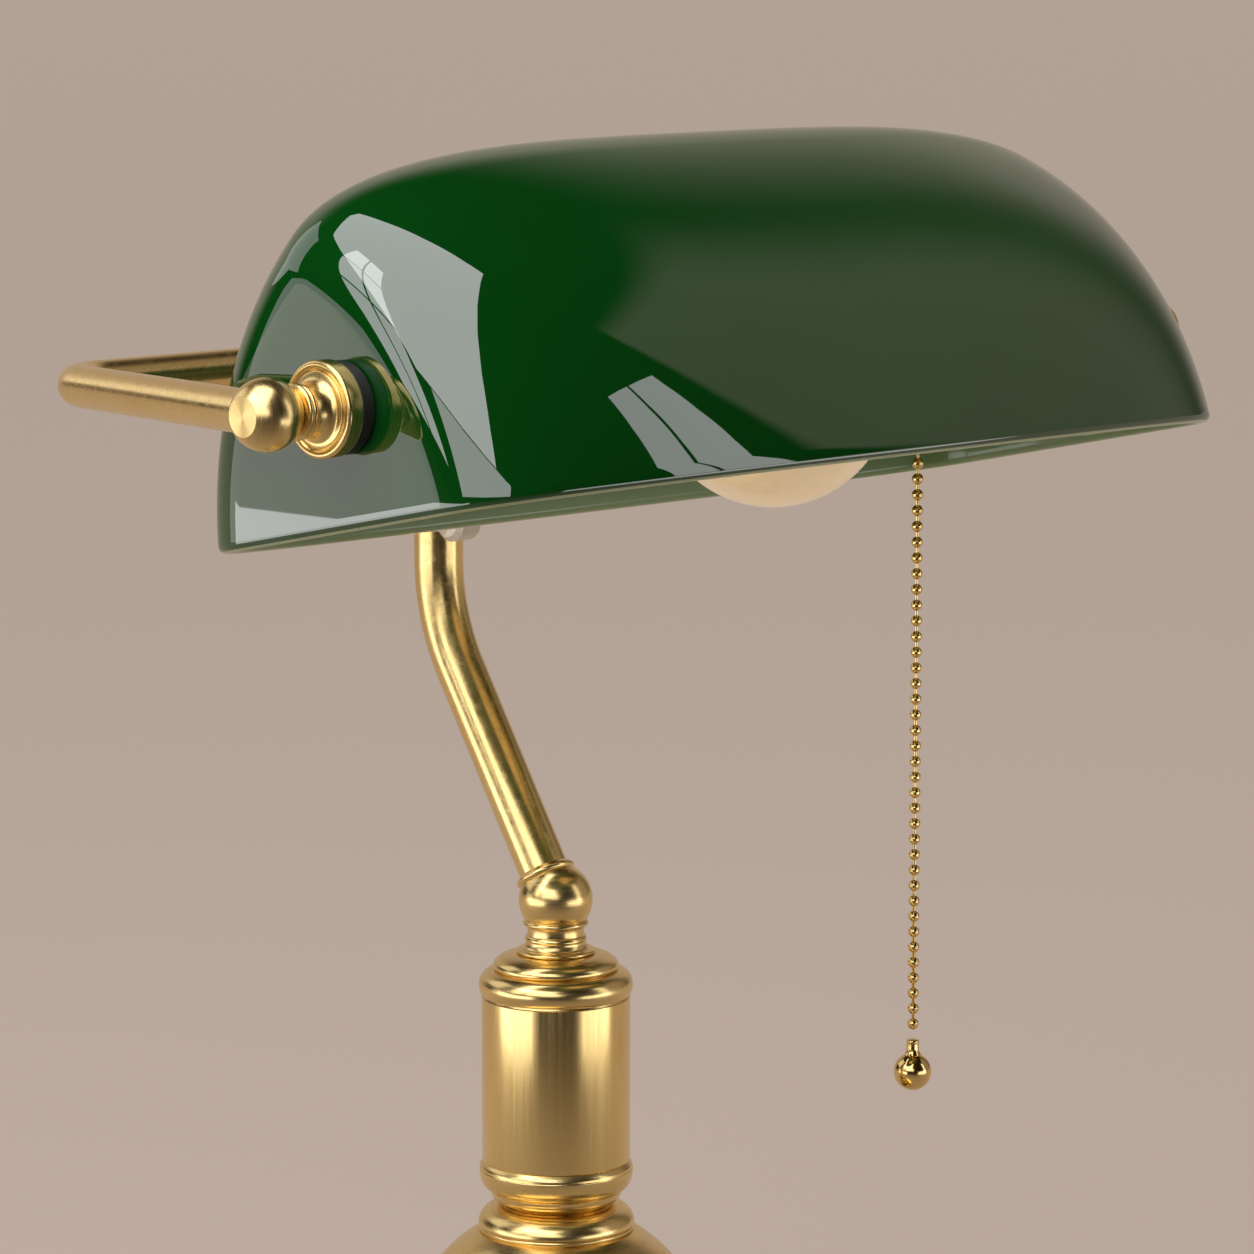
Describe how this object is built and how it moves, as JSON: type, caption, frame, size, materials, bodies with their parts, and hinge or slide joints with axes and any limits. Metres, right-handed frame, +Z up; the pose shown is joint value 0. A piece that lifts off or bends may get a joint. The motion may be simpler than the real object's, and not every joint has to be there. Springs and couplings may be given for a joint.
{
  "type": "banker desk lamp",
  "caption": "Desk lamp with a turned brass column, a yoke that carries a tilting green glass shade, and a pull-chain lamp holder.",
  "frame": {"origin": "centre of the base underside, on the column axis", "axes": "+Z up the column, +X along the shade, -Y to the front, where the shade reaches over the desk"},
  "size_m": [0.3364, 0.2279, 0.3748],
  "materials": {
    "brass": "satin brushed, lacquered",
    "holder_brass": "satin",
    "threaded_brass": "raw, threaded",
    "chain": "polished",
    "felt": "pressed felt",
    "iron": "rough",
    "steel": "zinc plated",
    "black_rubber": "matte",
    "white_nylon": "moulded",
    "green_glass": "glossy, cased over opal",
    "ivory_rubber": "soft matte",
    "ivory_plastic": "moulded",
    "black_plastic": "moulded phenolic",
    "bulb_white": "opal coated",
    "cap_metal": "drawn",
    "wire": "clear gold insulation"
  },
  "bodies": {
    "stand": {"base_shell": "brass", "base_collar": "brass", "column_foot": "brass", "column_sleeve": "brass", "column_cap": "brass", "elbow_neck": "brass", "elbow_ball": "brass", "arm_collar": "brass", "arm_tube": "brass", "arm_tee": "brass", "yoke_tube": "brass", "pivot_ball_left": "brass", "pivot_ball_right": "brass", "pivot_flange_left": "brass", "pivot_flange_right": "brass", "clamp_washer_left": "holder_brass", "clamp_washer_right": "holder_brass", "pivot_nut_left": "holder_brass", "pivot_nut_right": "holder_brass", "holder_bracket": "holder_brass", "bracket_nut": "holder_brass", "nipple_nut": "holder_brass", "holder_cap": "holder_brass", "holder_shell": "holder_brass", "screw_shell": "holder_brass", "centre_contact": "holder_brass", "chain_guide": "holder_brass", "threaded_rod": "threaded_brass", "holder_nipple": "threaded_brass", "pivot_stud_left": "threaded_brass", "pivot_stud_right": "threaded_brass", "tee_screw": "threaded_brass", "felt_pad": "felt", "base_weight": "iron", "rod_nut": "steel", "rod_washer": "steel", "outer_washer_left": "black_rubber", "outer_washer_right": "black_rubber", "inner_washer_left": "black_rubber", "inner_washer_right": "black_rubber", "cord_bushing": "black_rubber", "rim_bumper": "ivory_rubber", "terminal_block": "ivory_plastic", "holder_liner": "ivory_plastic", "holder_body": "black_plastic", "bulb_insulator": "black_plastic", "bulb_glass": "bulb_white", "bulb_cap": "cap_metal", "bulb_contact": "cap_metal", "lamp_wire": "wire"},
    "shade": {"glass_shade": "green_glass", "glass_bush_left": "white_nylon", "glass_bush_right": "white_nylon"},
    "chain_head": {"chain_top_bead": "chain"},
    "chain_knuckle": {"chain_second_bead": "chain"},
    "chain_drop": {"pull_chain": "chain", "chain_ball": "chain"},
    "chain_feed": {"chain_lead": "chain"},
    "switch": {"switch_rotor": "steel"}
  },
  "joints": [
    {"name": "shade_tilt", "type": "hinge", "parent": "stand", "child": "shade", "pos_m": [0, -0.0706, 0.315], "axis": [1, 0, 0], "range_deg": [-24, 45]},
    {"name": "chain_pull", "type": "slide", "parent": "stand", "child": "chain_head", "axis": [0, 0, -1], "range_m": [0, 0.006], "stiffness_N_per_m": 600, "springref_m": -0.004},
    {"name": "chain_swing_fore", "type": "hinge", "parent": "chain_head", "child": "chain_knuckle", "pos_m": [0.0926, -0.0466, 0.3072], "axis": [1, 0, 0], "range_deg": [-8, 8]},
    {"name": "chain_swing_side", "type": "hinge", "parent": "chain_knuckle", "child": "chain_drop", "pos_m": [0.0926, -0.0466, 0.30285], "axis": [0, 1, 0], "range_deg": [-10, 10]},
    {"name": "chain_run", "type": "slide", "parent": "stand", "child": "chain_feed", "axis": [0, 1, 0], "range_m": [0, 0.006]},
    {"name": "switch_turn", "type": "hinge", "parent": "stand", "child": "switch", "pos_m": [0.0926, -0.0706, 0.3162], "axis": [1, 0, 0], "range_deg": [-0.5, 55]}
  ],
  "couplings": [
    {"joint": "chain_run", "follows": "chain_pull", "ratio": 1},
    {"joint": "switch_turn", "follows": "chain_pull", "rad_per_m": 151.5}
  ]
}
